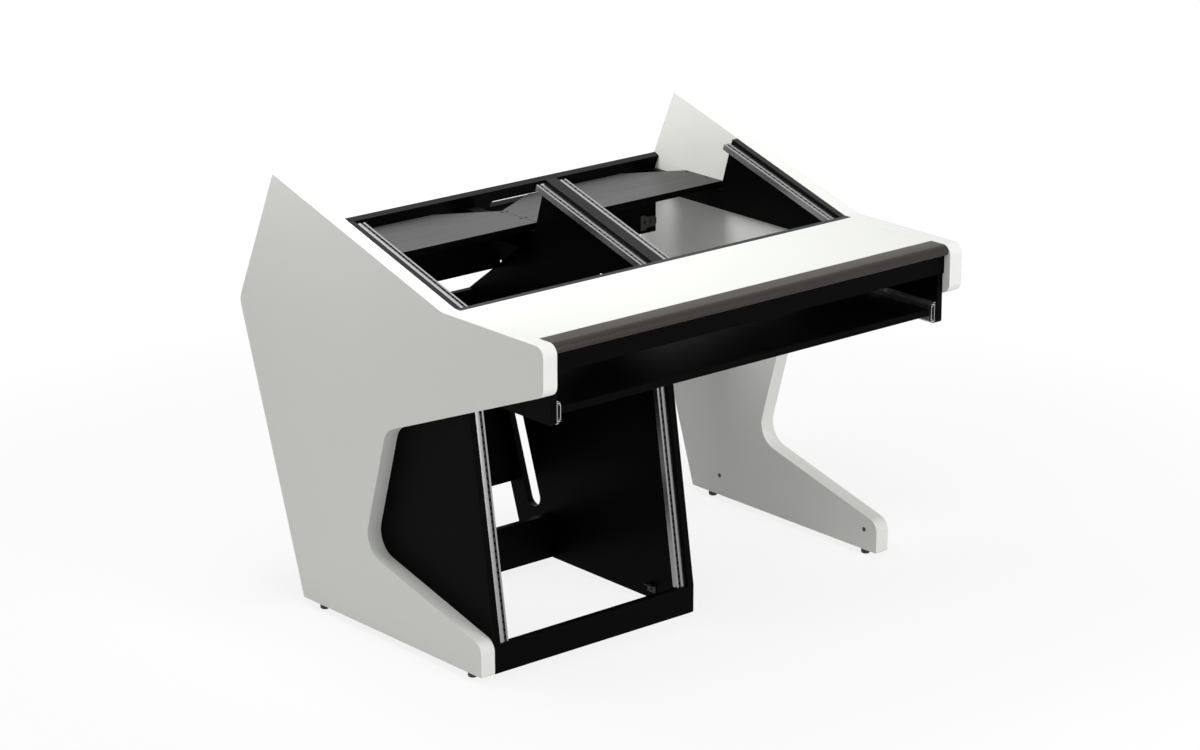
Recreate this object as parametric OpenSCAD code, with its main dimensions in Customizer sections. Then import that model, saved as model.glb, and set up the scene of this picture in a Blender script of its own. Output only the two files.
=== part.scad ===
// Studio desk: two white side panels carry a desktop with a soft armrest, two slanted
// 19-inch rack bays behind the desktop, a rack tower below on the left, a leaning back
// board with a cable slot and a keyboard shelf on ball-bearing slides.
// Width runs along X, depth along Y (the sitter is at -Y) and height along Z.

/* [Overall] */
// Height of the desktop above the floor
desktop_h = 750.7; // [735:0.1:790]
// Thickness of a white side panel
side_t = 35; // [28:1:45]
// Thickness of the black boards
board_t = 15; // [12:1:19]

/* [Side panel outline] */
// Length of the panel along the floor
foot_len = 596; // [500:1:640]
// Height of the toe at the front of the foot
toe_h = 69; // [50:1:90]
// Depth of the knee behind the toe
knee_y = 382; // [340:1:400]
// Height of the knee above the panel bottom
knee_z = 169; // [140:1:190]
// Depth of the corner between the leg and the arm, behind the toe
arm_root_y = 302; // [285:1:330]
// Height of that corner above the panel bottom
arm_root_z = 443; // [420:1:470]
// Reach of the arm in front of the toe
arm_reach = 198; // [170:1:230]
// Height of the arm at its front end
arm_front_h = 98; // [80:1:120]
// Depth at which the slanted top begins, behind the toe
slope_start_y = 114; // [105:1:125]
// Rise of the slanted top, in degrees
slope_a = 16.9; // [14:0.1:19]
// Length of the slanted top
slope_len = 580; // [560:1:620]
// Lean of the upper rear edge from vertical, in degrees
back_lean = 23.8; // [21:0.1:26]
// Lean of the lower rear edge from vertical, in degrees
leg_lean = 18.4; // [17:0.1:20]
// Rounding of the toe
toe_r = 28; // [10:1:40]
// Rounding inside the knee
knee_r = 52; // [20:1:80]
// Rounding between leg and arm
arm_root_r = 48; // [20:1:80]
// Rounding of the arm's front corners
arm_r = 22; // [10:1:40]
// Rounding of the rear corner
rear_r = 35; // [10:1:60]
// Small rounding of the remaining corners
nose_r = 3; // [1:0.5:8]

/* [Feet] */
// Diameter of a foot
foot_d = 20; // [16:1:30]
// Height of a foot
foot_h = 15; // [12:1:20]
// Rounding of a foot's lower rim
foot_rim_r = 4; // [1:0.5:6]
// Distance of the feet from the panel's two ends
foot_inset = 50; // [30:1:80]
// Height of the bolt covers above the panel bottom
cap_z = 46; // [30:1:60]
// Diameter of a bolt cover
cap_d = 10; // [6:1:14]
// Depth of a bolt cover in the panel
cap_depth = 8; // [4:1:12]
// Distance of the front bolt cover from the toe
cap_front_y = 39; // [30:1:60]
// Distance of the rear bolt cover from the heel
cap_rear_inset = 90; // [70:1:120]

/* [Desktop] */
// Thickness of the white desktop
desktop_t = 25; // [18:1:30]
// Depth of the desktop between armrest and rack bays
desktop_d = 240; // [200:1:250]
// Depth of the armrest
armrest_d = 52; // [45:1:60]
// Thickness of the armrest
armrest_t = 21; // [16:1:28]
// Rounding of the armrest's upper front edge
armrest_r = 14; // [6:1:15]
// Rounding of the armrest's lower front edge
armrest_low_r = 5; // [2:0.5:6]
// Overhang of the armrest in front of the apron
armrest_nose = 12.5; // [8:0.5:18]
// Depth of the apron and the bay front below the desktop top
apron_h = 62; // [55:1:70]
// Height of the batten under the armrest
batten_h = 22; // [15:1:30]

/* [Keyboard shelf] */
// Height of the shelf bracket below the apron
bracket_drop = 107; // [95:1:115]
// Depth of a shelf bracket
bracket_d = 420; // [405:1:460]
// Setback of the bracket's front edge behind the apron's face
bracket_back = 4; // [2:0.5:10]
// Rounding of the bracket's lower front corner
bracket_r = 6; // [2:1:10]
// Depth of the keyboard shelf
kshelf_d = 380; // [340:1:385]
// Setback of the shelf's front edge behind the slides' front ends
kshelf_back = 8; // [4:1:12]
// Travel of the keyboard shelf
kshelf_travel = 350; // [250:5:355]
// Height of the slides' middle above the bracket's lower edge
slide_rise = 23; // [23:0.5:30]
// Length of a slide
slide_len = 400; // [395:5:450]
// Setback of the slides' front ends behind the bracket's front edge
slide_back = 3; // [1:0.5:10]

/* [Ball-bearing slide] */
// Height of the slide
slide_h = 45.7; // [44:0.1:50]
// Width of the slide
slide_w = 12.7; // [12.7:0.1:14]
// Thickness of the slide's steel sheet
slide_t = 1.1; // [0.9:0.1:1.2]
// Radius of a ball
ball_r = 1.55; // [1.4:0.05:1.55]
// Clearance between ball and race
ball_gap = 0.05; // [0.03:0.01:0.08]
// Step down from the outer to the inner row of balls
race_step = 3.65; // [3.5:0.05:5]
// Half angle of the opening between two races, in degrees
race_open = 35; // [30:1:40]
// Length of a ball cage
cage_len = 140; // [100:5:150]
// Thickness of a ball cage
cage_t = 0.5; // [0.4:0.1:0.6]
// Width of a ball cage
cage_w = 4.6; // [4.2:0.1:4.8]
// Offset of the cage from the middle of its balls
cage_drop = 0.4; // [0.35:0.05:0.45]
// Balls in one row of a cage
ball_count = 6; // [3:1:9]
// Shank diameter of a slide screw
slide_screw_d = 4; // [3:0.5:4.5]
// Length of a slide screw
slide_screw_len = 13; // [8:1:14]

/* [Rack bays] */
// Spacing of the two rows of rack holes in a bay
hole_gauge = 465.1; // [464:0.1:600]
// Distance from a bay's board to the middle of the rail's slot
slot_inset = 17.45; // [15:0.05:22]
// Rack units in a slanted bay
bay_units = 8; // [6:1:8]
// Rack units in the tower
tower_units = 11; // [8:1:11]
// Height of one rack unit
unit_h = 44.45;
// Free length beyond the last rack unit
unit_spare = 4; // [2:0.5:8]
// Setback of the cheeks' front edges below the side panels' slanted top
cheek_drop = 1.5; // [0.5:0.5:5]
// Depth of the cheek boards below the desktop top
cheek_h = 62; // [55:1:70]
// Setback of the rails below the boards' front edges
rail_back = 6; // [4:0.5:8]
// Width of a rail from the slot's middle to its free edge
rail_lip = 7.55; // [7:0.05:10]
// Depth of a rail
rail_d = 13; // [12:0.5:16]
// Width of the slot in a rail
slot_w = 6.3; // [6.2:0.1:7]
// Thickness of a rail's lips and walls
rail_wall = 1.8; // [1.5:0.1:2]
// Width of the nut channel behind the slot
channel_w = 10.8; // [10.2:0.1:11]
// Depth of the nut channel
channel_d = 5; // [4:0.5:6]
// Drop of the rail's rounded shoulder at the board
shoulder_drop = 2; // [1:0.5:3]
// Flat part of the shoulder beside the slot
shoulder_flat = 3; // [1:0.5:5]
// Width of the threaded strip
strip_w = 10; // [9:0.1:10]
// Thickness of the threaded strip
strip_t = 3; // [2.5:0.5:4]
// Diameter of the threaded holes
thread_d = 6; // [5:0.5:6]

/* [Tower] */
// Height of the tower's plinth
plinth_h = 60; // [50:1:70]
// Lean of the tower's front edges from vertical, in degrees
tower_lean = 9; // [8:0.1:10]
// Free depth behind the keyboard shelf, before the tower's sides rise
tower_step = 85; // [70:1:120]
// Setback of the tower's rear edge before the side panel's rear edge
tower_back = 59; // [50:1:70]
// Lower end of the upper rear board above the panel bottom
rear_board_z0 = 142; // [120:1:160]
// Upper end of the upper rear board above the panel bottom
rear_board_z1 = 546; // [530:1:560]
// Fall of the tower's rear top corner, in degrees
tower_cut_a = 36.5; // [30:0.5:40]
// Height of the lower cross board
cross_h = 98; // [80:1:110]
// Depth of the lower cross board's face behind the toe
cross_y = 441; // [400:1:460]
// Width of the cable slot in the tower's right side
cable_w = 45; // [40:1:55]
// Distance of that slot from the rear edge
cable_edge = 47; // [40:1:60]
// Lower end of that slot above the panel bottom
cable_z0 = 100; // [90:1:140]
// Upper end of that slot above the panel bottom
cable_z1 = 425; // [350:1:440]
// Length of the tower's steel angles
angle_len = 25; // [16:1:40]
// Height of the tower's steel angles
angle_h = 18; // [14:1:30]
// Width of the angles' upper flange
angle_flange = 12; // [10:1:20]
// Depth of the angles' front ends behind the toe
angle_y = 101; // [60:1:140]
// Lower edge of the angles above the panel bottom
angle_z = 15; // [10:1:40]
// Sheet thickness of brackets and plates
plate_t = 2; // [1.5:0.5:3]

/* [Back] */
// Length of the leaning back board from its upper to its lower edge
back_len = 100; // [90:1:110]
// Height of the back board's upper rear edge above the panel bottom
back_top_z = 757; // [750:1:770]
// Setback of the back board from the side panels' upper rear edge
back_inset = 3; // [1:0.5:6]
// Width of the cable slot in the back board
back_slot_w = 150; // [120:1:200]
// Height of the cable slot in the back board
back_slot_h = 15; // [12:1:20]
// Distance of that slot's middle from the upper edge
back_slot_drop = 37; // [30:1:45]
// Distance of that slot's left end from the middle of the desk
back_slot_x = 56; // [40:1:80]
// Gap between the rear shelf and the back board
shelf_gap = 27.4; // [20:0.1:40]
// Depth of the rear shelf at its ends
shelf_end_d = 120; // [110:1:130]
// Full depth of the rear shelf
shelf_d = 192; // [170:1:200]
// Length of a cut corner along the shelf
shelf_cut = 132; // [100:1:150]
// Setback of the shelf's top below the desktop top
shelf_drop = 1.7; // [1:0.1:5]
// Head diameter of a shelf screw
shelf_screw_d = 7; // [6:0.5:9]
// Length of a shelf screw
shelf_screw_len = 40; // [30:1:45]
// Distance of a shelf screw from the shelf's front edge
shelf_screw_y = 45; // [30:1:60]
// Spacing of the shelf screws
shelf_screw_gap = 64; // [50:1:70]
// Setback of the modesty panels' face behind the shelf's front edge
modesty_back = 106; // [90:1:112]
// Height of the modesty panels
modesty_h = 104; // [90:1:110]
// Gap between the right modesty panel and the right side panel
modesty_gap = 102; // [80:1:140]
// Width of the fixing plate
plate_w = 46; // [40:1:60]
// Height of the fixing plate's head
plate_h = 34; // [28:1:40]

/* [Hidden] */
$fn = 64;
eps = 0.01;
// Play between a rail's end and the board it stands on
seat = 0.3;
// Length of the cheeks past the rails' upper ends
cheek_past = 3;

// Heights above the panel bottom, where the outline is drawn
arm_top_z = desktop_h - foot_h;
apron_z = arm_top_z - apron_h;
cheek_z = arm_top_z - cheek_h;

// Corners of the side panel as [depth behind the toe, height above the panel bottom]
slope_b = [slope_start_y, arm_top_z];
tip = slope_b + slope_len * [cos(slope_a), sin(slope_a)];
heel = [foot_len, 0];
// The two rear edges meet where their lines cross
upper_dir = [sin(back_lean), -cos(back_lean)];
lower_dir = [sin(leg_lean), cos(leg_lean)];
rear_k = ((tip[0] - heel[0]) * lower_dir[1] - (tip[1] - heel[1]) * lower_dir[0])
  / (lower_dir[0] * upper_dir[1] - lower_dir[1] * upper_dir[0]);
rear = tip + rear_k * upper_dir;
outline = [
  [0, 0, nose_r],
  [foot_len, 0, nose_r],
  [rear[0], rear[1], rear_r],
  [tip[0], tip[1], nose_r],
  [slope_b[0], slope_b[1], 2 * arm_r],
  [-arm_reach, arm_top_z, arm_r],
  [-arm_reach, arm_top_z - arm_front_h, arm_r],
  [arm_root_y, arm_root_z, arm_root_r],
  [knee_y, knee_z, knee_r],
  [0, toe_h, toe_r]];

// The rounded rear corner reaches furthest back
rear_turn = 180 - back_lean - leg_lean;
rear_centre = rear - rear_r / sin(rear_turn / 2)
  * [cos((back_lean - leg_lean) / 2), -sin((back_lean - leg_lean) / 2)];
depth_max = rear_centre[0] + rear_r;
// The origin lies on the floor, under the middle of the whole desk
mid_y = (depth_max - arm_reach) / 2;

// The bays stand side by side between two cheeks, with a double board as divider
bay_w = hole_gauge + 2 * slot_inset;
rail_w = slot_inset + rail_lip;
divider_t = 2 * board_t;
cheek_x = divider_t / 2 + bay_w;
inner_x = cheek_x + board_t;
apron_y = -arm_reach + armrest_nose + armrest_front_gap();
armrest_y = apron_y - armrest_nose;
desktop_y = armrest_y + armrest_d;
bay_y = desktop_y + desktop_d;
bay_rear_y = bay_y + board_t;
bracket_z = apron_z - bracket_drop;
bracket_y = apron_y + bracket_back;
slide_z = bracket_z + slide_rise;
slide_y = bracket_y + slide_back;
kshelf_y = slide_y + kshelf_back;
kshelf_x = cheek_x - slide_w;
shelf_top = arm_top_z - shelf_drop;
shelf_z = shelf_top - board_t;

// Gap between the arms' front ends and the armrest
function armrest_front_gap() = 4;

// Point of the slanted plane at a run s and a depth d below the panels' slanted edge
function slope_at(s, d) = slope_b + s * [cos(slope_a), sin(slope_a)] + d * [sin(slope_a), -cos(slope_a)];

// Run along the slope at which a given depth is reached
function slope_run(y, d) = (y - slope_b[0] - d * sin(slope_a)) / cos(slope_a);

rail_len = bay_units * unit_h + unit_spare;
rail_drop = cheek_drop + rail_back;
rail_s0 = slope_run(bay_rear_y + seat, rail_drop);
cheek_end = rail_s0 + rail_len + cheek_past;

// Back board: upper front corner and direction down the board
back_top = tip + (tip[1] - back_top_z) / cos(back_lean) * upper_dir
  + back_inset * [-cos(back_lean), -sin(back_lean)];
back_face = back_top - board_t * [cos(back_lean), sin(back_lean)];

// Depth of the back board's face at a height
function back_face_y(z) = back_face[0] + (back_face[1] - z) * tan(back_lean);

// Depth of the tower's rear edge at a height
function tower_rear_y(z) = foot_len - tower_back + z * tan(leg_lean);

// Depth of the tower's front edge at a height
function tower_front_y(z) = (z - plinth_h) * tan(tower_lean);

shelf_rear_y = back_face_y(shelf_top) - shelf_gap;
shelf_y0 = shelf_rear_y - shelf_d;
modesty_y = shelf_y0 + modesty_back;

tower_x = -cheek_x + bay_w;
tower_rail_len = tower_units * unit_h + unit_spare;
tower_top = plinth_h + (tower_rail_len + unit_spare) * cos(tower_lean);
tower_rise_y = kshelf_y + kshelf_d + tower_step;
tower_cut_y = tower_rear_y(rear_board_z1) - (cheek_z - rear_board_z1) / tan(tower_cut_a);

// Sections of the slide: middles of the two ball rows
race_r = ball_r + ball_gap;
race_out = race_r + slide_t;
inner_race = [slide_w - race_out, slide_h / 2 - race_out - race_step];
outer_race = [inner_race[0] - race_r - race_out, slide_h / 2 - race_out];
cage_y = slide_y + (slide_len - kshelf_travel / 2 - cage_len) / 2 + kshelf_travel / 4;
slide_screw_at = [0.12, 0.5, 0.88];
// Rack holes repeat in threes within each unit
unit_holes = [6.35, 22.225, 38.1];

white = [0.93, 0.93, 0.9];
black = [0.1, 0.1, 0.11];
edge_grey = [0.2, 0.2, 0.21];
steel = [0.75, 0.76, 0.78];
alu = [0.82, 0.83, 0.84];
brown = [0.2, 0.17, 0.15];

// Places what is drawn behind the toe and above the panel bottom into the desk's frame
module desk_frame() {
  translate([0, -mid_y, foot_h]) children();
}

// Turns an outline in depth and height into a board that starts at x and is t thick
module board_x(x, t) {
  translate([x, 0, 0]) rotate([90, 0, 90]) linear_extrude(t) children();
}

function unit2(v) = v / norm(v);
function cross2(a, b) = a[0] * b[1] - a[1] * b[0];

// Outline with true arcs: each corner is [x, y, radius], listed anticlockwise.
// The circles stay a hair clear of the straight edges.
module rounded(pts) {
  n = len(pts);
  hair = 0.02;
  v = [for (p = pts) [p[0], p[1]]];
  u = [for (i = [0 : n - 1]) unit2(v[(i + n - 1) % n] - v[i])];
  w = [for (i = [0 : n - 1]) unit2(v[(i + 1) % n] - v[i])];
  half = [for (i = [0 : n - 1]) acos(max(-1, min(1, u[i] * w[i]))) / 2];
  a = [for (i = [0 : n - 1]) v[i] + u[i] * pts[i][2] / tan(half[i])];
  b = [for (i = [0 : n - 1]) v[i] + w[i] * pts[i][2] / tan(half[i])];
  c = [for (i = [0 : n - 1]) v[i] + unit2(u[i] + w[i]) * pts[i][2] / sin(half[i])];
  convex = [for (i = [0 : n - 1]) cross2(w[i], u[i]) > 0];
  difference() {
    union() {
      polygon([for (i = [0 : n - 1]) each [a[i], b[i]]]);
      for (i = [0 : n - 1]) if (convex[i]) translate(c[i]) circle(pts[i][2] - hair);
    }
    for (i = [0 : n - 1]) if (!convex[i]) translate(c[i]) circle(pts[i][2] - hair);
  }
}

// Upright slot with round ends between two heights
module stadium(w, l) {
  translate([-w / 2, -l / 2 + w / 2]) square([w, l - w]);
  for (s = [-1, 1]) translate([0, s * (l - w) / 2]) circle(w / 2);
}

function cap_ys() = [cap_front_y, foot_len - cap_rear_inset];

module side_panel(s) {
  x0 = s > 0 ? inner_x : -inner_x - side_t;
  color(white) desk_frame() difference() {
    board_x(x0, side_t) rounded(outline);
    for (y = cap_ys())
      translate([s * (inner_x - eps), y, cap_z]) rotate([0, s * 90, 0])
        cylinder(d = cap_d, h = cap_depth + eps);
  }
}

module side_panel_left() {
  side_panel(-1);
}

module side_panel_right() {
  side_panel(1);
}

module bolt_covers() {
  color(black) desk_frame()
    for (s = [-1, 1], y = cap_ys())
      translate([s * inner_x, y, cap_z]) rotate([0, s * 90, 0])
        cylinder(d = cap_d, h = cap_depth);
}

// Turned foot with a rounded lower rim
module foot() {
  rotate_extrude() union() {
    translate([0, foot_rim_r]) square([foot_d / 2, foot_h - foot_rim_r]);
    square([foot_d / 2 - foot_rim_r, foot_h]);
    intersection() {
      translate([foot_d / 2 - foot_rim_r, foot_rim_r]) circle(foot_rim_r);
      translate([foot_d / 2 - foot_rim_r, 0]) square(foot_rim_r);
    }
  }
}

// Two feet under each side panel and two under the tower's right side
module feet() {
  color(black) {
    for (s = [-1, 1], y = [foot_inset, foot_len - foot_inset])
      translate([s * (inner_x + side_t / 2), y - mid_y, 0]) foot();
    for (y = [foot_inset, foot_len - tower_back - foot_inset])
      translate([tower_x + board_t / 2, y - mid_y, 0]) foot();
  }
}

module desktop() {
  color(white) desk_frame()
    translate([-inner_x, desktop_y, arm_top_z - desktop_t])
      cube([2 * inner_x, desktop_d, desktop_t]);
}

module armrest() {
  z0 = arm_top_z - armrest_t;
  color(brown) desk_frame() board_x(-inner_x, 2 * inner_x)
      union() {
        translate([armrest_y + armrest_r, z0]) square([armrest_d - armrest_r, armrest_t]);
        translate([armrest_y, z0 + armrest_low_r])
          square([armrest_r, armrest_t - armrest_low_r - armrest_r]);
        translate([armrest_y + armrest_low_r, z0]) square([armrest_r, armrest_low_r]);
        intersection() {
          translate([armrest_y + armrest_r, arm_top_z - armrest_r]) circle(armrest_r);
          translate([armrest_y, arm_top_z - armrest_r]) square(armrest_r);
        }
        intersection() {
          translate([armrest_y + armrest_low_r, z0 + armrest_low_r]) circle(armrest_low_r);
          translate([armrest_y, z0]) square(armrest_low_r);
        }
      }
}

module apron() {
  color(black) desk_frame()
    translate([-inner_x, apron_y, apron_z])
      cube([2 * inner_x, board_t, apron_h - armrest_t]);
}

// Batten behind the apron that carries the armrest and meets the desktop
module armrest_batten() {
  y0 = apron_y + board_t;
  color(black) desk_frame()
    translate([-cheek_x, y0, arm_top_z - armrest_t - batten_h])
      cube([2 * cheek_x, desktop_y - y0, batten_h]);
}

module bay_front() {
  color(edge_grey) desk_frame()
    translate([-inner_x, bay_y, apron_z])
      cube([2 * inner_x, board_t, apron_h]);
}

// Board under the desktop that carries a slide, notched round apron and bay front
module bracket(s) {
  x0 = s > 0 ? cheek_x : -inner_x;
  y1 = bracket_y + bracket_d;
  top = arm_top_z - desktop_t;
  r = bracket_r;
  color(black) desk_frame() difference() {
    board_x(x0, board_t) difference() {
      rounded([[bracket_y, bracket_z, r], [y1, bracket_z, 1],
        [y1, top, 1], [bracket_y, top, 1]]);
      translate([bracket_y - 1, apron_z]) square([apron_y + board_t - bracket_y + 1, apron_h]);
      translate([bay_y, apron_z]) square([y1 - bay_y + 1, apron_h]);
    }
    bracket_holes();
  }
}

// Pilot holes for the screws that hold the slide to its bracket
module bracket_holes() {
  for (s = [0, 1], k = slide_screw_at) mirror([s, 0, 0])
    translate([cheek_x - eps, slide_y + k * slide_len, slide_z])
      rotate([0, 90, 0]) cylinder(d = slide_screw_d, h = slide_screw_len);
}

module bracket_left() {
  bracket(-1);
}

module bracket_right() {
  bracket(1);
}

module keyboard_shelf() {
  color(black) desk_frame()
    difference() {
      translate([-kshelf_x, kshelf_y, slide_z - board_t / 2])
        cube([2 * kshelf_x, kshelf_d, board_t]);
      for (s = [-1, 1], k = slide_screw_at)
        translate([s * (kshelf_x + eps), slide_y + k * slide_len, slide_z])
          rotate([0, -s * 90, 0]) cylinder(d = slide_screw_d, h = slide_screw_len);
    }
}

// Rolled race: part of a ring round a row of balls, between two angles
module race(at, a0, a1) {
  mid = (a0 + a1) / 2;
  spread = (a1 - a0) / 2;
  far = 2 * race_out;
  translate(at) intersection() {
    difference() {
      circle(race_out);
      circle(race_r);
    }
    polygon([[0, 0],
      far * [cos(mid - spread), sin(mid - spread)],
      far * 1.4 * [cos(mid - spread / 2), sin(mid - spread / 2)],
      far * 1.4 * [cos(mid), sin(mid)],
      far * 1.4 * [cos(mid + spread / 2), sin(mid + spread / 2)],
      far * [cos(mid + spread), sin(mid + spread)]]);
  }
}

// Height of a race's open end above or below its middle
race_end = race_r * sin(race_open);

module outer_section() {
  translate([0, -slide_h / 2]) square([slide_t, slide_h]);
  for (m = [0, 1]) mirror([0, m]) {
    translate([0, slide_h / 2 - slide_t]) square([outer_race[0], slide_t]);
    race(outer_race, race_open, 180 - race_open);
  }
}

module middle_section() {
  x0 = outer_race[0] - race_out;
  top = outer_race[1] - race_end;
  translate([x0, -top]) square([slide_t, 2 * top]);
  for (m = [0, 1]) mirror([0, m]) {
    race(outer_race, 180 + race_open, 360 - race_open);
    translate([outer_race[0] + race_r, inner_race[1]])
      square([slide_t, top - inner_race[1]]);
    race(inner_race, race_open, 180);
  }
}

module inner_section() {
  top = inner_race[1] - race_end;
  translate([slide_w - slide_t, -top]) square([slide_t, 2 * top]);
  for (m = [0, 1]) mirror([0, m])
    race(inner_race, 180 + race_open, 360 - race_open);
}

// Puts a section of the slide on the bracket's inner face, on one side of the desk
module slide_place(s) {
  mirror([s > 0 ? 1 : 0, 0, 0])
    translate([-cheek_x, slide_y, slide_z])
      rotate([90, 0, 0]) mirror([0, 0, 1]) children();
}

module slide_holes(x) {
  for (k = slide_screw_at)
    translate([x, 0, k * slide_len]) rotate([0, 90, 0])
      cylinder(d = slide_screw_d, h = 4 * slide_t, center = true);
}

module slide_outer(s) {
  color(steel) desk_frame() slide_place(s) difference() {
    linear_extrude(slide_len) outer_section();
    slide_holes(0);
  }
}

module slide_middle(s) {
  color(steel) desk_frame() slide_place(s) linear_extrude(slide_len) middle_section();
}

module slide_inner(s) {
  color(steel) desk_frame() slide_place(s) difference() {
    linear_extrude(slide_len) inner_section();
    slide_holes(slide_w);
  }
}

// Two rows of balls, each in its cage strip
module cage(at, s) {
  pitch = cage_len / ball_count;
  color(steel) desk_frame() slide_place(s)
    for (m = [0, 1]) mirror([0, m, 0]) translate([at[0], at[1], cage_y - slide_y]) {
      difference() {
        translate([-cage_w / 2, -cage_drop - cage_t / 2, 0]) cube([cage_w, cage_t, cage_len]);
        for (i = [0 : ball_count - 1])
          translate([0, 0, (i + 0.5) * pitch]) rotate([90, 0, 0])
            cylinder(r = race_r, h = 4, center = true);
      }
      for (i = [0 : ball_count - 1])
        translate([0, 0, (i + 0.5) * pitch]) sphere(ball_r, $fn = 24);
    }
}

module slide_outer_left() {
  slide_outer(-1);
}

module slide_middle_left() {
  slide_middle(-1);
}

module slide_inner_left() {
  slide_inner(-1);
}

module slide_outer_right() {
  slide_outer(1);
}

module slide_middle_right() {
  slide_middle(1);
}

module slide_inner_right() {
  slide_inner(1);
}

module cage_outer_left() {
  cage(outer_race, -1);
}

module cage_inner_left() {
  cage(inner_race, -1);
}

module cage_outer_right() {
  cage(outer_race, 1);
}

module cage_inner_right() {
  cage(inner_race, 1);
}

// Flat-headed screw whose head lies on a sheet, with its shank along +X
module slide_screw() {
  rotate([0, 90, 0]) cylinder(d = slide_screw_d, h = slide_screw_len);
  rotate([0, -90, 0]) cylinder(d = 2 * slide_screw_d, h = slide_t);
}

module slide_screws_fixed() {
  color(steel) desk_frame()
    for (s = [0, 1], k = slide_screw_at) mirror([s, 0, 0])
      translate([cheek_x - slide_t, slide_y + k * slide_len, slide_z]) slide_screw();
}

module slide_screws_shelf() {
  color(steel) desk_frame()
    for (s = [0, 1], k = slide_screw_at) mirror([s, 0, 0])
      translate([kshelf_x + slide_t, slide_y + k * slide_len, slide_z])
        mirror([1, 0, 0]) slide_screw();
}

// Cheek with a slanted front edge and a ledge that carries the rear shelf
module cheek_outline() {
  front = slope_at(slope_run(bay_rear_y, cheek_drop), cheek_drop);
  top = slope_at(cheek_end, cheek_drop);
  foot_k = (top[1] - shelf_z) / cos(slope_a);
  foot = top + foot_k * [sin(slope_a), -cos(slope_a)];
  polygon([[bay_rear_y, cheek_z], [back_face_y(cheek_z), cheek_z],
    [back_face_y(shelf_z), shelf_z], foot, top, front]);
}

// Cheek or divider with pilot holes for the shelf screws
module cheek(x, t) {
  color(black) desk_frame() difference() {
    board_x(x, t) cheek_outline();
    shelf_screw_holes();
  }
}

module cheek_left() {
  cheek(-inner_x, board_t);
}

module cheek_right() {
  cheek(cheek_x, board_t);
}

module divider() {
  cheek(-divider_t / 2, divider_t);
}

// Rail section: the board is at x = 0, the face at y = 0 and the depth runs to -Y
module rail_section() {
  slot_0 = slot_inset - slot_w / 2;
  run = slot_0 - shoulder_flat;
  r = (run * run + shoulder_drop * shoulder_drop) / (2 * shoulder_drop);
  difference() {
    translate([0, -rail_d]) square([rail_w, rail_d]);
    // Rounded shoulder beside the board
    difference() {
      translate([-eps, -shoulder_drop]) square([run + eps, shoulder_drop + eps]);
      translate([run, -r]) circle(r, $fn = 128);
    }
    // Slot and nut channel
    translate([slot_0, -rail_wall - eps]) square([slot_w, rail_wall + 1]);
    translate([slot_inset - channel_w / 2, -rail_wall - channel_d])
      square([channel_w, channel_d]);
    // Lower chamber under the nut channel
    translate([slot_inset - channel_w / 2, -rail_d + rail_wall])
      square([channel_w, rail_d - 3 * rail_wall - channel_d]);
    // Chamber beside the board
    translate([rail_wall, -rail_d + rail_wall])
      square([slot_inset - channel_w / 2 - 2 * rail_wall,
        rail_d - 2 * rail_wall - shoulder_drop]);
  }
}

// Places a rail in a slanted bay: x is the board's face, s the side it faces
module slant_place(x, s) {
  at = slope_at(rail_s0, rail_drop);
  translate([x, at[0], at[1]]) rotate([slope_a, 0, 0])
    mirror([s > 0 ? 0 : 1, 0, 0]) rotate([90, 0, 0]) mirror([0, 0, 1]) children();
}

// Places a rail on the tower's front
module tower_place(x, s) {
  y0 = rail_back / cos(tower_lean);
  translate([x, y0, plinth_h]) rotate([90 - tower_lean, 0, 0])
    mirror([s > 0 ? 0 : 1, 0, 0]) rotate([90, 0, 0]) mirror([0, 0, 1]) children();
}

// A leaning rail or strip is sawn off level, so that it stands flat on the plinth
module sawn_level() {
  difference() {
    children();
    translate([-inner_x, -rail_d, plinth_h - rail_d])
      cube([2 * inner_x, 4 * rail_d, rail_d + seat]);
  }
}

module rail(l) {
  linear_extrude(l) rail_section();
}

// Threaded strip with the rack's hole pattern
module strip(units) {
  l = units * unit_h + unit_spare;
  difference() {
    translate([slot_inset - strip_w / 2, -rail_wall - strip_t - eps, 0])
      cube([strip_w, strip_t, l]);
    for (i = [0 : units - 1], h = unit_holes)
      translate([slot_inset, -rail_wall - strip_t / 2, unit_spare / 2 + i * unit_h + h])
        rotate([90, 0, 0]) cylinder(d = thread_d, h = 2 * strip_t, center = true);
  }
}

module slant_rail(x, s) {
  color(alu) desk_frame() slant_place(x, s) rail(rail_len);
}

module slant_strip(x, s) {
  color(steel) desk_frame() slant_place(x, s) strip(bay_units);
}

module rail_a() {
  slant_rail(-cheek_x, 1);
}

module rail_b() {
  slant_rail(-divider_t / 2, -1);
}

module rail_c() {
  slant_rail(divider_t / 2, 1);
}

module rail_d() {
  slant_rail(cheek_x, -1);
}

module strip_a() {
  slant_strip(-cheek_x, 1);
}

module strip_b() {
  slant_strip(-divider_t / 2, -1);
}

module strip_c() {
  slant_strip(divider_t / 2, 1);
}

module strip_d() {
  slant_strip(cheek_x, -1);
}

module rail_tower_left() {
  color(alu) desk_frame() sawn_level() tower_place(-cheek_x, 1) rail(tower_rail_len);
}

module rail_tower_right() {
  color(alu) desk_frame() sawn_level() tower_place(tower_x, -1) rail(tower_rail_len);
}

module strip_tower_left() {
  color(steel) desk_frame() sawn_level() tower_place(-cheek_x, 1) strip(tower_units);
}

module strip_tower_right() {
  color(steel) desk_frame() sawn_level() tower_place(tower_x, -1) strip(tower_units);
}

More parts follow.
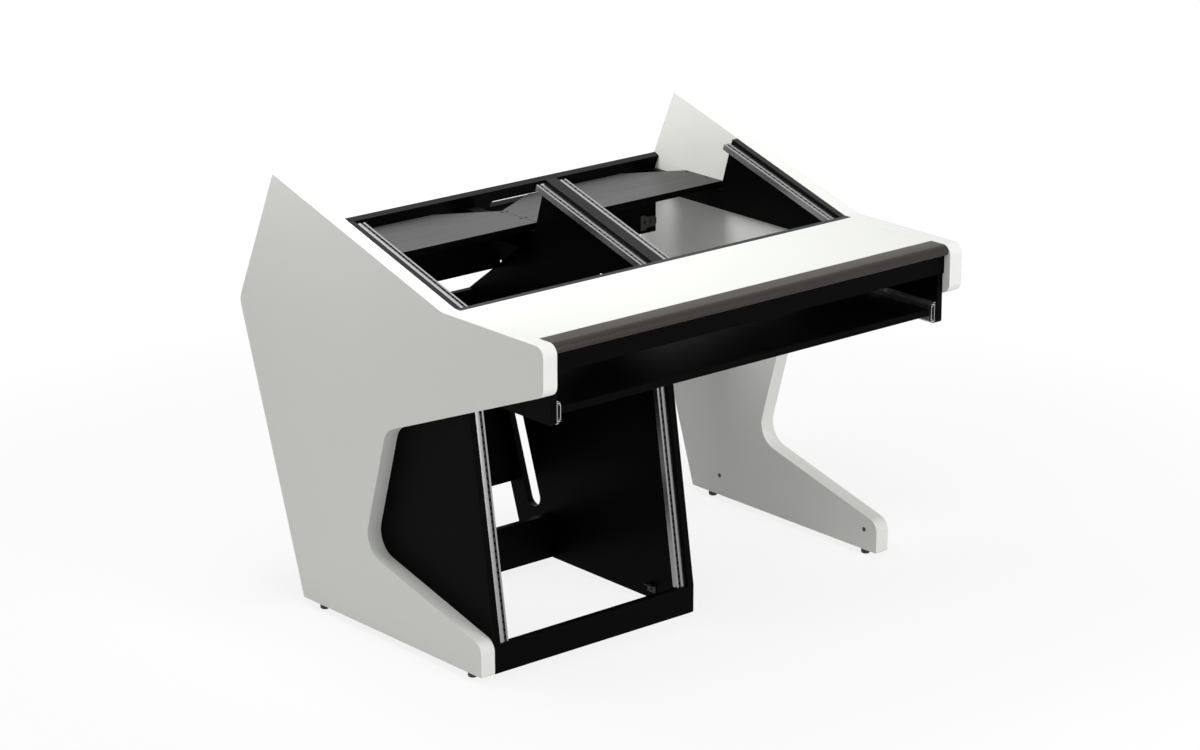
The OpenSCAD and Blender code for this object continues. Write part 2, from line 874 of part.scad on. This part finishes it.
// Side of the tower: leaning front edge, leaning rear edge and a cut rear top corner
module tower_outline(notch) {
  r = 2;
  difference() {
    rounded([[0, 0, r], [tower_rear_y(0), 0, r],
      [tower_rear_y(rear_board_z1), rear_board_z1, r],
      [tower_cut_y, cheek_z, r], [tower_rise_y, cheek_z, r],
      [tower_rise_y, tower_top, 20], [tower_front_y(tower_top), tower_top, r],
      [0, plinth_h, r]]);
    if (notch) translate([-1, -1]) square([board_t + 1, plinth_h + 1]);
  }
}

module tower_side_left() {
  color(black) desk_frame() board_x(-inner_x, board_t) tower_outline(true);
}

// The right side has the cable slot, and a rebate that hides the plinth's end
module tower_side_right() {
  zm = (cable_z0 + cable_z1) / 2;
  at = [tower_rear_y(zm) - (cable_edge + cable_w / 2) / cos(leg_lean), zm];
  color(black) desk_frame() difference() {
    union() {
      board_x(tower_x, board_t / 2) tower_outline(true);
      board_x(tower_x + board_t / 2, board_t / 2) tower_outline(false);
    }
    board_x(tower_x - 1, board_t + 2) translate(at) rotate(-leg_lean)
      stadium(cable_w, (cable_z1 - cable_z0 - cable_w) / cos(leg_lean) + cable_w);
  }
}

module tower_plinth() {
  color(black) desk_frame()
    translate([-inner_x, 0, 0])
      cube([tower_x + board_t / 2 + inner_x, board_t, plinth_h]);
}

module tower_cross_board() {
  color(black) desk_frame()
    translate([-cheek_x, cross_y, 0]) cube([bay_w, board_t, cross_h]);
}

// Leaning board between the sides, flush with their rear edges
module tower_rear_board() {
  w = board_t / cos(leg_lean);
  z0 = rear_board_z0;
  z1 = rear_board_z1;
  color(black) desk_frame() board_x(-cheek_x, bay_w)
    polygon([[tower_rear_y(z0) - w, z0], [tower_rear_y(z0), z0],
      [tower_rear_y(z1), z1], [tower_rear_y(z1) - w, z1]]);
}

// Steel angles on the sides' inner faces, near the bottom
module tower_angles() {
  color(steel) desk_frame()
    for (m = [0, 1]) translate([(tower_x - cheek_x) / 2, 0, 0]) mirror([m, 0, 0])
      translate([bay_w / 2, angle_y, angle_z]) difference() {
        union() {
          translate([-plate_t, 0, 0]) cube([plate_t, angle_len, angle_h]);
          translate([-angle_flange, 0, angle_h - plate_t])
            cube([angle_flange, angle_len, plate_t]);
        }
        translate([-(angle_flange + plate_t) / 2, angle_len / 2, angle_h])
          cylinder(d = 5, h = 3 * plate_t, center = true);
        translate([0, angle_len / 2, angle_h / 2 - plate_t]) rotate([0, 90, 0])
          cylinder(d = 5, h = 3 * plate_t, center = true);
      }
}

// Leaning board across the back, with a cable slot
module back_board() {
  color(black) desk_frame() translate([0, back_face[0], back_face[1]])
    rotate([back_lean, 0, 0]) difference() {
      translate([-inner_x, 0, -back_len]) cube([2 * inner_x, board_t, back_len]);
      translate([back_slot_x + back_slot_w / 2, 0, -back_slot_drop])
        rotate([90, 90, 0]) linear_extrude(3 * board_t, center = true)
          stadium(back_slot_h, back_slot_w);
    }
}

function screw_xs() = [-inner_x + board_t / 2, -board_t / 2, board_t / 2, inner_x - board_t / 2];

module shelf_screw_places() {
  for (x = screw_xs(), k = [0, 1])
    translate([x, shelf_y0 + shelf_screw_y + k * shelf_screw_gap, shelf_top]) children();
}

// Countersunk screw with its head flush with the shelf
module shelf_screw_body(grow) {
  h = shelf_screw_d / 2;
  shank = shelf_screw_d / 2;
  translate([0, 0, -h]) cylinder(d1 = shank, d2 = shelf_screw_d + grow, h = h);
  translate([0, 0, -shelf_screw_len]) cylinder(d = shank, h = shelf_screw_len - h + eps);
}

module shelf_screw_holes() {
  shelf_screw_places() shelf_screw_body(0);
}

module shelf_screws() {
  color(black) desk_frame() shelf_screw_places() shelf_screw_body(0);
}

// Half of the rear shelf: its rear corners are cut so that cables pass
module rear_shelf(s) {
  y1 = shelf_y0 + shelf_end_d;
  color(edge_grey) desk_frame() difference() {
    mirror([s > 0 ? 0 : 1, 0, 0]) translate([0, 0, shelf_z]) linear_extrude(board_t)
      polygon([[0, shelf_y0], [inner_x, shelf_y0], [inner_x, y1],
        [inner_x - shelf_cut, shelf_rear_y], [shelf_cut, shelf_rear_y], [0, y1]]);
    shelf_screw_holes();
  }
}

module rear_shelf_left() {
  rear_shelf(-1);
}

module rear_shelf_right() {
  rear_shelf(1);
}

// Upright boards under the rear shelf
module modesty_left() {
  color(black) desk_frame()
    translate([-cheek_x, modesty_y, shelf_z - modesty_h]) cube([bay_w, board_t, modesty_h]);
}

module modesty_right() {
  x0 = divider_t / 2;
  x1 = inner_x - modesty_gap;
  low = shelf_z - modesty_h;
  // Here the panel passes over the sloping top of the tower's right side
  over = low + board_t;
  color(black) desk_frame() difference() {
    translate([0, modesty_y + board_t, 0]) rotate([90, 0, 0]) linear_extrude(board_t)
      polygon([[0, low], [x1, low], [x1, shelf_z], [x0, shelf_z], [x0, cheek_z],
        [-x0, cheek_z], [-x0, over], [0, over]]);
    plate_screw_at() rotate([90, 0, 0]) cylinder(d = 4, h = board_t, center = true);
  }
}

plate_x = inner_x - modesty_gap - plate_w;
plate_z = shelf_z - modesty_h + plate_h / 2 + 8;

// Flat steel plate with a wide head, a narrower tail and one hole
module fixing_plate() {
  head = 0.42 * plate_w;
  tail = 0.7 * plate_h;
  color(steel) desk_frame() translate([plate_x, modesty_y, plate_z]) rotate([90, 0, 0])
    difference() {
      linear_extrude(plate_t) polygon([[0, -plate_h / 2], [head - 6, -plate_h / 2],
        [head, -tail / 2], [plate_w - 6, -tail / 2], [plate_w, -tail / 2 + 6],
        [plate_w, tail / 2 - 6], [plate_w - 6, tail / 2], [head, tail / 2],
        [head - 6, plate_h / 2], [0, plate_h / 2]]);
      translate([12, 0, 0]) cylinder(d = 6, h = 3 * plate_t, center = true);
      translate([plate_w - 14, 0, 0]) cylinder(d = 4, h = 3 * plate_t, center = true);
    }
}

module plate_screw_at() {
  translate([plate_x + plate_w - 14, modesty_y, plate_z]) children();
}

module plate_screw() {
  color(steel) desk_frame() plate_screw_at() {
    rotate([90, 0, 0]) translate([0, 0, plate_t]) cylinder(d = 8, h = 1.8);
    rotate([90, 0, 0]) translate([0, 0, -7]) cylinder(d = 4, h = 7 + plate_t + 0.5);
  }
}

side_panel_left();
side_panel_right();
feet();
bolt_covers();
desktop();
armrest();
armrest_batten();
apron();
bay_front();
bracket_left();
bracket_right();
keyboard_shelf();
slide_outer_left();
slide_middle_left();
slide_inner_left();
slide_outer_right();
slide_middle_right();
slide_inner_right();
cage_outer_left();
cage_inner_left();
cage_outer_right();
cage_inner_right();
slide_screws_fixed();
slide_screws_shelf();
cheek_left();
cheek_right();
divider();
rail_a();
rail_b();
rail_c();
rail_d();
rail_tower_left();
rail_tower_right();
strip_a();
strip_b();
strip_c();
strip_d();
strip_tower_left();
strip_tower_right();
tower_side_left();
tower_side_right();
tower_plinth();
tower_cross_board();
tower_rear_board();
tower_angles();
back_board();
rear_shelf_left();
rear_shelf_right();
shelf_screws();
modesty_left();
modesty_right();
fixing_plate();
plate_screw();
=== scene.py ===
import math

import bmesh
import bpy
from mathutils import Euler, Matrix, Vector


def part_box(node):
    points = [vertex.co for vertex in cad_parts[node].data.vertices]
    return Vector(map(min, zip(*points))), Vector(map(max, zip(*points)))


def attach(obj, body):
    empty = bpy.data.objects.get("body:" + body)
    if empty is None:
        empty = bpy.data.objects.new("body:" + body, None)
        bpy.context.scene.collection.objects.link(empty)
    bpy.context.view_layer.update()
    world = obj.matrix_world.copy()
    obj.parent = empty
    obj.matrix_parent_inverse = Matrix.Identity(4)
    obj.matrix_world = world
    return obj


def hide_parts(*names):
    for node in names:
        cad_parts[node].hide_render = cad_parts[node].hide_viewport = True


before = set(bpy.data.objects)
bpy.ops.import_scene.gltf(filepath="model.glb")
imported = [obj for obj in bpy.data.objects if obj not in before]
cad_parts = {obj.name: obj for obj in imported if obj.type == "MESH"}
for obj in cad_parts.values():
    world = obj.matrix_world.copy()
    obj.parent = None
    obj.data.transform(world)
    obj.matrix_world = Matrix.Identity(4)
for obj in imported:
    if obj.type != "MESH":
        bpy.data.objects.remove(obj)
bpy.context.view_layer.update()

scene = bpy.context.scene

# Studio and camera
# The desk stands on a plain pale floor in even light, seen from the left front and from above.
# The camera stands far off with a long lens, so that upright edges stay nearly upright.
photo_width_px = 1200
focal_length_px = 3828.5
camera_data = bpy.data.cameras.new("camera")
camera_data.sensor_width = 36.0
camera_data.lens = focal_length_px / photo_width_px * camera_data.sensor_width
camera_data.clip_end = 60.0
camera = bpy.data.objects.new("camera", camera_data)
camera.location = (-4.96970, -5.83503, 2.91219)
yaw, pitch, roll = math.radians(40.42), math.radians(17.745), math.radians(-0.03)
level = math.cos(pitch)
aim = Vector((math.sin(yaw) * level, math.cos(yaw) * level, -math.sin(pitch)))
turn = aim.to_track_quat("-Z", "Y")
camera.rotation_euler = (turn.to_matrix() @ Euler((0, 0, roll)).to_matrix()).to_euler()
scene.collection.objects.link(camera)
scene.camera = camera
scene.view_settings.view_transform = "Standard"


def area_lamp(name, where, target, size, watts):
    """A rectangular lamp of this width and height that shines from one point to another."""
    lamp = bpy.data.lights.new(name, "AREA")
    lamp.shape = "RECTANGLE"
    lamp.size, lamp.size_y = size
    lamp.energy = watts
    holder = bpy.data.objects.new(name, lamp)
    holder.location = where
    holder.rotation_euler = (Vector(target) - Vector(where)).to_track_quat("-Z", "Y").to_euler()
    scene.collection.objects.link(holder)


area_lamp("lamp_top", where=(-0.2, -1.0, 3.6), target=(0.0, 0.0, 0.7), size=(1.6, 2.0), watts=34)
area_lamp("lamp_side", where=(-0.45, 0.45, 1.9), target=(0.6, 0.4, 0.7), size=(0.5, 1.2), watts=17)
area_lamp("lamp_front", where=(0.6, -4.8, 1.6), target=(0.0, 0.0, 0.5), size=(2.6, 2.0), watts=110)
area_lamp("lamp_left", where=(-4.4, -1.0, 1.6), target=(0.0, 0.0, 0.4), size=(2.4, 2.0), watts=26)


class Wire:
    """A value or colour inside a finish, for use in sums and products."""

    def __init__(self, finish, socket):
        self.finish = finish
        self.socket = socket

    def __add__(self, other):
        return self.finish.node("ShaderNodeMath", {"operation": "ADD"}, {0: self, 1: other})

    def __mul__(self, other):
        return self.finish.node("ShaderNodeMath", {"operation": "MULTIPLY"}, {0: self, 1: other})

    __radd__ = __add__
    __rmul__ = __mul__


class Finish:
    """One finish of the desk: a material and its shader tree."""

    def __init__(self, name, roughness, **constants):
        self.material = bpy.data.materials.new(name)
        self.material.use_nodes = True
        self.nodes = self.material.node_tree.nodes
        self.links = self.material.node_tree.links
        self.shader = self.nodes["Principled BSDF"]
        self.shader.inputs["Roughness"].default_value = roughness
        for socket, value in constants.items():
            self.shader.inputs[socket.replace("_", " ")].default_value = value

    def node(self, kind, settings=None, values=None, out=0):
        """A new shader node, whose inputs are linked to wires and set to plain values."""
        made = self.nodes.new(kind)
        for key, value in (settings or {}).items():
            setattr(made, key, value)
        for key, value in (values or {}).items():
            if isinstance(value, Wire):
                self.links.new(value.socket, made.inputs[key])
            else:
                made.inputs[key].default_value = value
        return Wire(self, made.outputs[out])

    def place(self, scale=(1, 1, 1), turned=(0, 0, 0)):
        """The object's own coordinates. A small scale draws a pattern out in that direction."""
        spot = self.node("ShaderNodeTexCoord", out="Object")
        values = {"Vector": spot, "Scale": scale, "Rotation": turned}
        return self.node("ShaderNodeMapping", {}, values)

    def noise(self, where, scale, detail=3.0, rough=0.5):
        values = {"Vector": where, "Scale": scale, "Detail": detail, "Roughness": rough}
        return self.node("ShaderNodeTexNoise", {}, values)

    def blend(self, share, dark, pale):
        """A colour between two. The colours of a Mix node are its inputs 6 and 7, and output 2."""
        values = {0: share, 6: (*dark, 1), 7: (*pale, 1)}
        return self.node("ShaderNodeMix", {"data_type": "RGBA"}, values, out=2)

    def feed(self, **sockets):
        for socket, wire in sockets.items():
            self.links.new(wire.socket, self.shader.inputs[socket.replace("_", " ")])

    def bump(self, height, strength, distance):
        values = {"Height": height, "Strength": strength, "Distance": distance}
        self.feed(Normal=self.node("ShaderNodeBump", {}, values))


def dress(finish, *names):
    """Gives CAD nodes a finish in place of their plain colour."""
    for name in names:
        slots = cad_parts[name].data.materials
        slots.clear()
        slots.append(finish.material)


# Floor
# A wide, plain, pale floor that takes the desk's soft shadow. The camera, and what shines, see
# it nearly white round the desk and plain white from a few metres away.
bpy.ops.object.select_all(action="DESELECT")
bpy.ops.mesh.primitive_plane_add(size=60.0, location=(0, 0, 0))
floor = bpy.context.object
floor.name = "floor"
pale = Finish("pale_floor", 0.9, Base_Color=(0.8, 0.8, 0.8, 1), Specular_IOR_Level=0.0)
rays = pale.nodes.new("ShaderNodeLightPath")
seen = pale.node("ShaderNodeMath", {"operation": "MAXIMUM"}, {
    0: Wire(pale, rays.outputs["Is Camera Ray"]),
    1: Wire(pale, rays.outputs["Is Glossy Ray"]),
})
distance = pale.node("ShaderNodeVectorMath", {"operation": "LENGTH"}, {0: pale.place()}, out="Value")
whiteness = pale.node("ShaderNodeMapRange", {"interpolation_type": "SMOOTHSTEP"}, {
    "Value": distance, "From Min": 0.8, "From Max": 3.2, "To Min": 0.78, "To Max": 1.0,
})
glow = pale.nodes.new("ShaderNodeEmission")
glow.inputs["Strength"].default_value = 1.06
mixed = pale.nodes.new("ShaderNodeMixShader")
pale.links.new((whiteness * seen).socket, mixed.inputs[0])
pale.links.new(pale.shader.outputs[0], mixed.inputs[1])
pale.links.new(glow.outputs[0], mixed.inputs[2])
pale.links.new(mixed.outputs[0], pale.nodes["Material Output"].inputs["Surface"])
floor.data.materials.append(pale.material)

# Background
# White all round for the camera and for what shines. It lights matt faces only softly, so that
# the lamps shape the desk.
mirrored_strength, matt_strength = 1.0, 0.28
world = bpy.data.worlds.new("studio")
scene.world = world
world.use_nodes = True
sky = world.node_tree.nodes["Background"]
sky.inputs["Color"].default_value = (1, 1, 1, 1)
rays = world.node_tree.nodes.new("ShaderNodeLightPath")
strength = world.node_tree.nodes.new("ShaderNodeMix")
world.node_tree.links.new(rays.outputs["Is Diffuse Ray"], strength.inputs[0])
strength.inputs[2].default_value = mirrored_strength
strength.inputs[3].default_value = matt_strength
world.node_tree.links.new(strength.outputs[0], sky.inputs["Strength"])

# White side panels and desktop
# 35 mm and 25 mm boards with a white melamine face that has a very fine pearl texture.
# Their edges are banded in the same white and eased by about a millimetre.
white = Finish("white_melamine", 0.5, Specular_IOR_Level=0.3)
mottle = white.noise(white.place(), scale=3.0, detail=4.0)
pearl = white.noise(white.place(), scale=900.0, detail=2.0)
white.feed(
    Base_Color=white.blend(mottle, dark=(0.80, 0.81, 0.775), pale=(0.825, 0.835, 0.80)),
    Roughness=0.46 + 0.1 * pearl,
)
white.bump(pearl, strength=0.12, distance=0.0004)
sharp_angle = math.radians(35)


def link_and_select(thing):
    """Puts a new object into the scene as the only one that is selected."""
    scene.collection.objects.link(thing)
    bpy.ops.object.select_all(action="DESELECT")
    thing.select_set(True)
    bpy.context.view_layer.objects.active = thing


def modify(thing, kind, **settings):
    """Gives the active object a modifier with these settings, and applies it."""
    bpy.ops.object.modifier_add(type=kind)
    modifier = thing.modifiers[-1]
    for key, value in settings.items():
        setattr(modifier, key, value)
    bpy.ops.object.modifier_apply(modifier=modifier.name)


def merge_flat_faces(weld_distance=0.00012, flat_angle=math.radians(0.8)):
    """Welds the triangles of the selected board and joins those that lie in one plane."""
    bpy.ops.object.mode_set(mode="EDIT")
    bpy.ops.mesh.select_all(action="SELECT")
    bpy.ops.mesh.remove_doubles(threshold=weld_distance)
    bpy.ops.mesh.dissolve_limited(angle_limit=flat_angle)
    bpy.ops.object.mode_set(mode="OBJECT")


def weigh_long_edges(mesh, least_length=0.008):
    """Marks the board's own sharp edges for easing. Those of its screw holes are shorter."""
    form = bmesh.new()
    form.from_mesh(mesh)
    weight = form.edges.layers.float.new("bevel_weight_edge")
    for edge in form.edges:
        sharp = edge.is_manifold and edge.calc_face_angle() > sharp_angle
        edge[weight] = float(sharp and edge.calc_length() > least_length)
    form.to_mesh(mesh)
    form.free()


def shift_middle_end(mesh, distance, tolerance=0.0001):
    """Moves the end of a board that lies in the desk's middle plane sideways."""
    for corner in mesh.vertices:
        if abs(corner.co.x) < tolerance:
            corner.co.x += distance


def eased(node, finish, ease=0.0006, top=None, body="desk", drilled=False, joint=0.0):
    """Makes the board of a CAD node with eased edges.

    Faces that look up can have a finish of their own, which carries painted light from above,
    a drilled board keeps the edges of its holes sharp, and an end in the middle of the desk can
    be shifted to leave a joint.
    """
    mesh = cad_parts[node].data.copy()
    board = bpy.data.objects.new(node + "_board", mesh)
    link_and_select(board)
    merge_flat_faces()
    if joint:
        shift_middle_end(mesh, joint)
    if drilled:
        weigh_long_edges(mesh)
    modify(
        board, "BEVEL", width=ease, segments=3, limit_method="WEIGHT" if drilled else "ANGLE",
        angle_limit=sharp_angle, use_clamp_overlap=not drilled,
    )
    bpy.ops.object.shade_smooth_by_angle(angle=math.radians(24))
    modify(board, "WEIGHTED_NORMAL", keep_sharp=True)
    mesh.materials.clear()
    mesh.materials.append(finish.material)
    if top:
        mesh.materials.append(top.material)
        # Faces that look up take the top finish: painted light from above.
        for face in mesh.polygons:
            face.material_index = int(face.normal.z > 0.75)
    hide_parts(node)
    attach(board, body)


for name in ("side_panel_left", "side_panel_right", "desktop"):
    eased(name, white, ease=0.0012)

# Feet and bolt covers
# Round glides of black moulded plastic under the panels, and plain black covers over the bolts.
plastic = Finish("black_plastic", 0.5)
grain = plastic.noise(plastic.place(), scale=1400.0, detail=2.0)
plastic.feed(
    Base_Color=plastic.blend(grain, dark=(0.008, 0.008, 0.008), pale=(0.016, 0.016, 0.016)),
)
plastic.bump(grain, strength=0.2, distance=0.0003)
dress(plastic, "feet", "bolt_covers")

# Black boards
# 15 mm boards with a black melamine face: a dull skin with fine pores, which are drawn out
# along the desk's width.
black = Finish("black_melamine", 0.42, Specular_IOR_Level=0.02)
pores = black.noise(black.place(scale=(1, 12, 12)), scale=60.0, detail=5.0, rough=0.6)
cloud = black.noise(black.place(), scale=5.0)
black.feed(
    Base_Color=black.blend(pores, dark=(0.0008, 0.0008, 0.0009), pale=(0.0024, 0.0024, 0.0027)),
    Roughness=0.34 + 0.1 * pores + 0.06 * cloud,
)
black.bump(pores, strength=0.12, distance=0.0003)
for name in (
    "armrest_batten", "apron", "tower_plinth", "tower_cross_board", "tower_rear_board",
    "modesty_left",
):
    eased(name, black)
eased("modesty_right", black, drilled=True)
eased("keyboard_shelf", black, body="keyboard_shelf", drilled=True)

# Banded black boards
# The upper edges of these boards, their faces that look up, are banded with a strip that shines more
# than the face.
# Its lighter colour there is painted light falling from above.
band_and_top_light = Finish("black_edge_band_and_top_light", 0.4, Specular_IOR_Level=0.12)
wear = band_and_top_light.noise(band_and_top_light.place(), scale=40.0, detail=4.0)
# Painted light: a lighter black than the faces, for the light that falls on the tops.
band_and_top_light.feed(
    Base_Color=band_and_top_light.blend(wear, dark=(0.006, 0.006, 0.0065), pale=(0.012, 0.012, 0.013)),
    Roughness=0.34 + 0.12 * wear,
)
for name in ("tower_side_left", "tower_side_right", "back_board", "bay_front"):
    eased(name, black, top=band_and_top_light)
for name in ("bracket_left", "bracket_right", "cheek_left", "cheek_right", "divider"):
    eased(name, black, top=band_and_top_light, drilled=True)

# Rear shelf
# Two half boards with a smoother, satin top, which meet in a fine joint in the middle of the desk.
# The top's dark grey, lighter than the black below it, is painted light from above.
# Fine lines run along them, which show where the shelf shines.
satin_and_top_light = Finish("satin_grey_lit_top", 0.3, Specular_IOR_Level=0.5)
drawn_out = satin_and_top_light.place(scale=(1.5, 40, 40), turned=(0, 0, 0.16))
lines = satin_and_top_light.noise(drawn_out, scale=3.0, detail=4.0, rough=0.6)
haze = satin_and_top_light.noise(satin_and_top_light.place(scale=(1, 3, 3)), scale=3.0, detail=2.0)
# Painted light: the top's grey is lighter than the black faces below, for the light that falls on
# it.
satin_and_top_light.feed(
    Base_Color=satin_and_top_light.blend(lines, dark=(0.004, 0.004, 0.0045), pale=(0.012, 0.012, 0.013)),
    Roughness=0.20 + 0.2 * lines + 0.1 * haze,
)
satin_and_top_light.bump(lines, strength=0.1, distance=0.0004)
half_joint = 0.0005
for name, joint in (("rear_shelf_left", -half_joint), ("rear_shelf_right", half_joint)):
    eased(name, black, ease=0.0010, top=satin_and_top_light, drilled=True, joint=joint)

# Screws of the rear shelf
# Countersunk screws with a matt black lacquered head, flush with the shelf.
lacquer = Finish("black_lacquer", 0.6, Specular_IOR_Level=0.05)
speck = lacquer.noise(lacquer.place(), scale=500.0)
lacquer.feed(
    Base_Color=lacquer.blend(speck, dark=(0.0015, 0.0015, 0.0015), pale=(0.004, 0.004, 0.004)),
)
dress(lacquer, "shelf_screws")

# Threaded strips and small angles
# Blackened steel: the strips lie inside the rails, the angles on the tower's sides.
blackened = Finish("blackened_steel", 0.35, Metallic=1.0)
tint = blackened.noise(blackened.place(), scale=300.0)
blackened.feed(
    Base_Color=blackened.blend(tint, dark=(0.02, 0.02, 0.02), pale=(0.05, 0.05, 0.05)),
)
dress(
    blackened, "tower_angles", "strip_a", "strip_b", "strip_c", "strip_d", "strip_tower_left",
    "strip_tower_right",
)

# Armrest
# A foam strip in a dark brown-black cover with a fine leather grain, along the desktop's front.
# Its front is rounded over, its top is slightly crowned and its ends roll in.
skin = Finish("soft_cover", 0.42, Specular_IOR_Level=0.24)
cells = skin.node(
    "ShaderNodeTexVoronoi", {"feature": "DISTANCE_TO_EDGE"},
    {"Vector": skin.place(), "Scale": 620.0}, out="Distance",
)
cloud = skin.noise(skin.place(scale=(1, 4, 4)), scale=9.0, detail=4.0)
skin.feed(
    Base_Color=skin.blend(cloud, dark=(0.018, 0.0135, 0.0112), pale=(0.029, 0.0225, 0.0192)),
    Roughness=0.36 + 0.1 * cloud,
)
skin.bump(cells, strength=0.25, distance=0.0002)
(left, front, bottom), (right, rear, crest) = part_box("armrest")
length = right - left
end_roll = 0.0025


def armrest_section(steps=10):
    """The cover's section as points (y, z, outward y, outward z), rounded at its corners."""
    corners = (
        (front, crest, 0.014, 180), (rear, crest, 0.0022, 90),
        (rear, bottom, 0.0015, 0), (front, bottom, 0.005, -90),
    )
    points = []
    for y, z, radius, start in corners:
        inward = Vector((1 if y == front else -1, 1 if z == bottom else -1))
        centre = Vector((y, z)) + radius * inward
        for k in range(steps + 1):
            angle = math.radians(start - 90 * k / steps)
            outward = Vector((math.cos(angle), math.sin(angle)))
            points.append((*(centre + radius * outward), *outward))
    return points


def armrest_stations(end_steps=6, middle_steps=160):
    """Distances from the left end, at which the cover has a ring of points."""
    end = [end_roll * (1 - math.cos(math.pi / 2 * k / end_steps)) for k in range(end_steps + 1)]
    middle_length = length - 2 * end_roll
    middle = [end_roll + middle_length * k / middle_steps for k in range(1, middle_steps)]
    return end + middle + [length - at for at in reversed(end)]


def armrest_ring(form, section, at, crown_height=0.0006, slack=0.0002):
    """The points of the cover at one station, with the crown, the rolled end and faint waves."""
    from_end = min(at, length - at)
    roll_in = end_roll - math.sqrt(max(0.0, end_roll**2 - max(0.0, end_roll - from_end) ** 2))
    ring = []
    for y, z, out_y, out_z in section:
        wave = 0.00012 * math.sin(31 * at + 90 * y) + 0.00008 * math.sin(83 * at - 140 * z)
        across = min(1, max(0, (y - front) / (rear - front)))
        crown = crown_height * math.sin(math.pi * across) * max(0.0, out_z)
        push = crown + wave - roll_in - slack
        ring.append(form.verts.new((left + at, y + out_y * push, z + out_z * push)))
    return ring


cover = bmesh.new()
section = armrest_section()
rings = [armrest_ring(cover, section, at) for at in armrest_stations()]
for first, second in zip(rings, rings[1:]):
    for k in range(len(section)):
        n = (k + 1) % len(section)
        cover.faces.new((first[k], first[n], second[n], second[k]))
cover.faces.new(rings[0])
cover.faces.new(list(reversed(rings[-1])))
bmesh.ops.recalc_face_normals(cover, faces=cover.faces)
mesh = bpy.data.meshes.new("armrest_cover")
cover.to_mesh(mesh)
cover.free()
armrest = bpy.data.objects.new("armrest_cover", mesh)
link_and_select(armrest)
bpy.ops.object.shade_smooth_by_angle(angle=math.radians(40))
mesh.materials.append(skin.material)
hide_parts("armrest")
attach(armrest, "desk")

# Rack rails
# Extruded aluminium with a satin anodised skin that shows the fine lines of the press.
# The tower's rails have a darker copy of the same skin: painted shade, for the shade of the desk
# they stand in.
bay_slope = math.radians(16.9)
tower_lean = math.radians(81)


def anodised(name, slope, dark, pale):
    """The rails' finish, with lines that run along a rail at this slope, in greys."""
    rail = Finish(name, 0.28, Metallic=1.0)
    along = rail.place(scale=(300, 3, 300), turned=(-slope, 0, 0))
    lines = rail.noise(along, scale=3.0)
    rail.feed(
        Base_Color=rail.blend(lines, dark=(dark, dark, dark), pale=(pale, pale, pale + 0.006)),
        Roughness=0.24 + 0.08 * lines,
    )
    rail.bump(lines, strength=0.03, distance=0.0001)
    return rail


slanted_rail = anodised("anodised_slanted", bay_slope, dark=0.40, pale=0.48)
# Painted shade: the same anodised skin in darker greys, for the desk's shade over the tower.
shaded_upright_rail = anodised("anodised_upright_shaded", tower_lean, dark=0.24, pale=0.30)
dress(slanted_rail, "rail_a", "rail_b", "rail_c", "rail_d")
dress(shaded_upright_rail, "rail_tower_left", "rail_tower_right")


# Slides
# Rolled members of bright zinc-plated strip, with a faint mottle, and their pan-head screws.
def plated(name, dark, pale, rough):
    """A plated steel finish, a little rougher where it is pale."""
    plating = Finish(name, rough, Metallic=1.0)
    mottle = plating.noise(plating.place(), scale=160.0)
    plating.feed(
        Base_Color=plating.blend(mottle, dark, pale),
        Roughness=rough + 0.06 * mottle,
    )
    return plating


zinc = plated("bright_zinc", dark=(0.56, 0.57, 0.585), pale=(0.68, 0.69, 0.705), rough=0.26)
dress(
    zinc, "slide_outer_left", "slide_middle_left", "slide_inner_left", "slide_outer_right",
    "slide_middle_right", "slide_inner_right", "slide_screws_fixed", "slide_screws_shelf",
)

# Fixing plate
# Pressed from thicker steel with a dull grey passivated skin, and held by one screw.
dull_steel = plated("dull_steel", dark=(0.05, 0.05, 0.049), pale=(0.07, 0.07, 0.069), rough=0.42)
dress(dull_steel, "fixing_plate", "plate_screw")

# Balls and cages
# Polished steel balls in cages of thin bright strip.
bright = Finish("bright_steel", 0.14, Metallic=1.0)
sheen = bright.noise(bright.place(), scale=200.0)
bright.feed(Base_Color=bright.blend(sheen, dark=(0.68, 0.69, 0.70), pale=(0.78, 0.79, 0.80)))
dress(bright, "cage_outer_left", "cage_inner_left", "cage_outer_right", "cage_inner_right")
